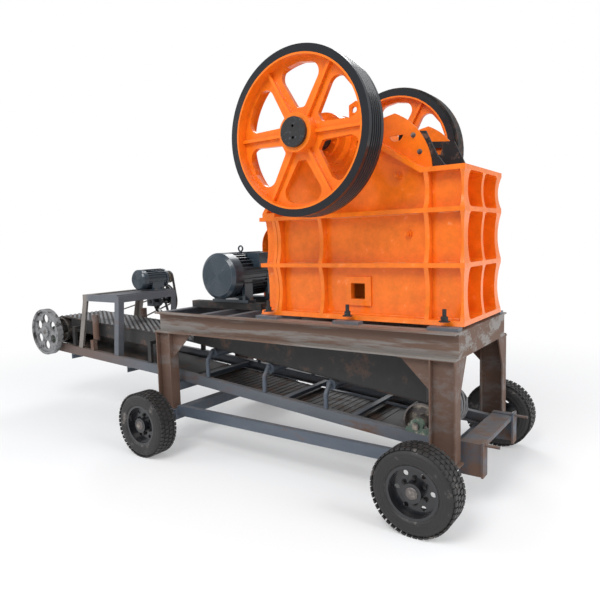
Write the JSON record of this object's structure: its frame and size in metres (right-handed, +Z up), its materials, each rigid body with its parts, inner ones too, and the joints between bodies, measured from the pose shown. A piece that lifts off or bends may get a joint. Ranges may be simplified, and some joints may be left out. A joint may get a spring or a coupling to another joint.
{
  "type": "portable jaw crusher with discharge conveyor",
  "caption": "Orange jaw crusher on a rust-brown wheeled steel frame with spoked flywheels, a dark electric motor and a long rubber discharge conveyor",
  "frame": {"origin": "on the ground under the middle of the machine's length and width", "axes": "+X towards the crusher end, with the jaw mouth, and -X along the conveyor to its head; +Y towards the far side, where the drive belts run; +Z up"},
  "size_m": [4.702, 1.752, 2.7785],
  "materials": {
    "crusher_paint": "gloss",
    "flywheel_paint": "gloss",
    "frame_steel": "rusty mill scale",
    "wheel_steel": "satin",
    "tyre_rubber": "dusty matte",
    "liner_steel": "dark, matte",
    "conveyor_steel": "worn satin",
    "stand_steel": "dusty primer",
    "motor_paint": "satin",
    "raw_casting": "bare, matte",
    "bearing_paint": "satin",
    "belt_rubber": "matte",
    "bare_steel": "worn"
  },
  "bodies": {
    "machine_frame": {"axle_front": "frame_steel", "axle_rear": "frame_steel", "axle_tie_far": "frame_steel", "axle_tie_near": "frame_steel", "base_shims": "bare_steel", "bearing_blocks": "bearing_paint", "bearing_housing_far": "crusher_paint", "bearing_housing_near": "crusher_paint", "belt_guard": "crusher_paint", "cheek_plate_far": "liner_steel", "cheek_plate_near": "liner_steel", "conveyor_belt": "belt_rubber", "conveyor_drive_belt": "belt_rubber", "conveyor_motor": "motor_paint", "conveyor_rail_far": "conveyor_steel", "conveyor_rail_near": "conveyor_steel", "drive_belts": "belt_rubber", "end_beam_front": "frame_steel", "fixed_jaw_plate": "liner_steel", "front_wall": "crusher_paint", "guide_rollers": "conveyor_steel", "head_drive_chain": "bare_steel", "idler_stations": "conveyor_steel", "leg_front_far": "frame_steel", "leg_front_near": "frame_steel", "leg_rear_far": "frame_steel", "leg_rear_near": "frame_steel", "main_motor": "motor_paint", "motor_stand": "stand_steel", "rail_cross_members": "conveyor_steel", "rear_deck_beams": "frame_steel", "rear_wall": "crusher_paint", "side_beam_far": "frame_steel", "side_beam_near": "frame_steel", "side_wall_far": "crusher_paint", "side_wall_near": "crusher_paint", "skirt_boards": "conveyor_steel", "slide_rails": "bare_steel", "slider_bed": "conveyor_steel", "tail_frame": "conveyor_steel"},
    "swing_jaw": {"pitman": "crusher_paint", "moving_jaw_plate": "liner_steel"},
    "toggle": {"toggle_plate": "liner_steel"},
    "crank_and_flywheels": {"eccentric_shaft": "bare_steel", "flywheel_near": "flywheel_paint", "flywheel_far": "flywheel_paint"},
    "motor_rotor": {"motor_sheave": "raw_casting"},
    "head_pulley": {"head_drum": "bare_steel", "head_wheel": "raw_casting"},
    "tail_pulley": {"tail_drum": "bare_steel"},
    "conveyor_motor_rotor": {"conveyor_motor_pulley": "raw_casting"},
    "countershaft": {"countershaft_pulley": "wheel_steel"},
    "wheel_front_near": {"rim_front_near": "wheel_steel", "tyre_front_near": "tyre_rubber"},
    "wheel_front_far": {"rim_front_far": "wheel_steel", "tyre_front_far": "tyre_rubber"},
    "wheel_rear_near": {"rim_rear_near": "wheel_steel", "tyre_rear_near": "tyre_rubber"},
    "wheel_rear_far": {"rim_rear_far": "wheel_steel", "tyre_rear_far": "tyre_rubber"}
  },
  "joints": [
    {"name": "flywheel_spin", "type": "hinge", "parent": "machine_frame", "child": "crank_and_flywheels", "pos_m": [1.258, 0, 2.259], "axis": [0, 1, 0], "continuous": true},
    {"name": "motor_spin", "type": "hinge", "parent": "machine_frame", "child": "motor_rotor", "pos_m": [0.1, 0.6625, 1.351], "axis": [0, 1, 0], "continuous": true},
    {"name": "jaw_swing", "type": "hinge", "parent": "machine_frame", "child": "swing_jaw", "pos_m": [1.258, 0, 2.259], "axis": [0, 1, 0], "range_deg": [-0.6, 0.6]},
    {"name": "toggle_swing", "type": "hinge", "parent": "machine_frame", "child": "toggle", "pos_m": [0.956, 0, 1.43], "axis": [0, 1, 0], "range_deg": [-0.6, 0.6]},
    {"name": "head_pulley_spin", "type": "hinge", "parent": "machine_frame", "child": "head_pulley", "pos_m": [-2.12, 0, 0.775], "axis": [0, 1, 0], "continuous": true},
    {"name": "tail_pulley_spin", "type": "hinge", "parent": "machine_frame", "child": "tail_pulley", "pos_m": [1.839, 0, 0.437], "axis": [0, 1, 0], "continuous": true},
    {"name": "conveyor_motor_spin", "type": "hinge", "parent": "machine_frame", "child": "conveyor_motor_rotor", "pos_m": [-1.195, 0.392, 1.282], "axis": [0, 1, 0], "continuous": true},
    {"name": "countershaft_spin", "type": "hinge", "parent": "machine_frame", "child": "countershaft", "pos_m": [-1.265, 0.392, 1.05], "axis": [0, 1, 0], "continuous": true},
    {"name": "wheel_spin_front_near", "type": "hinge", "parent": "machine_frame", "child": "wheel_front_near", "pos_m": [2.037, -0.797, 0.249], "axis": [0, 1, 0], "continuous": true},
    {"name": "wheel_spin_front_far", "type": "hinge", "parent": "machine_frame", "child": "wheel_front_far", "pos_m": [2.037, 0.797, 0.249], "axis": [0, 1, 0], "continuous": true},
    {"name": "wheel_spin_rear_near", "type": "hinge", "parent": "machine_frame", "child": "wheel_rear_near", "pos_m": [-0.184, -0.797, 0.249], "axis": [0, 1, 0], "continuous": true},
    {"name": "wheel_spin_rear_far", "type": "hinge", "parent": "machine_frame", "child": "wheel_rear_far", "pos_m": [-0.184, 0.797, 0.249], "axis": [0, 1, 0], "continuous": true}
  ],
  "couplings": [
    {"joint": "motor_spin", "follows": "flywheel_spin", "ratio": 3.7037},
    {"joint": "toggle_swing", "follows": "jaw_swing", "ratio": 1},
    {"joint": "tail_pulley_spin", "follows": "head_pulley_spin", "ratio": 1},
    {"joint": "countershaft_spin", "follows": "head_pulley_spin", "ratio": 2},
    {"joint": "conveyor_motor_spin", "follows": "head_pulley_spin", "ratio": 6}
  ]
}
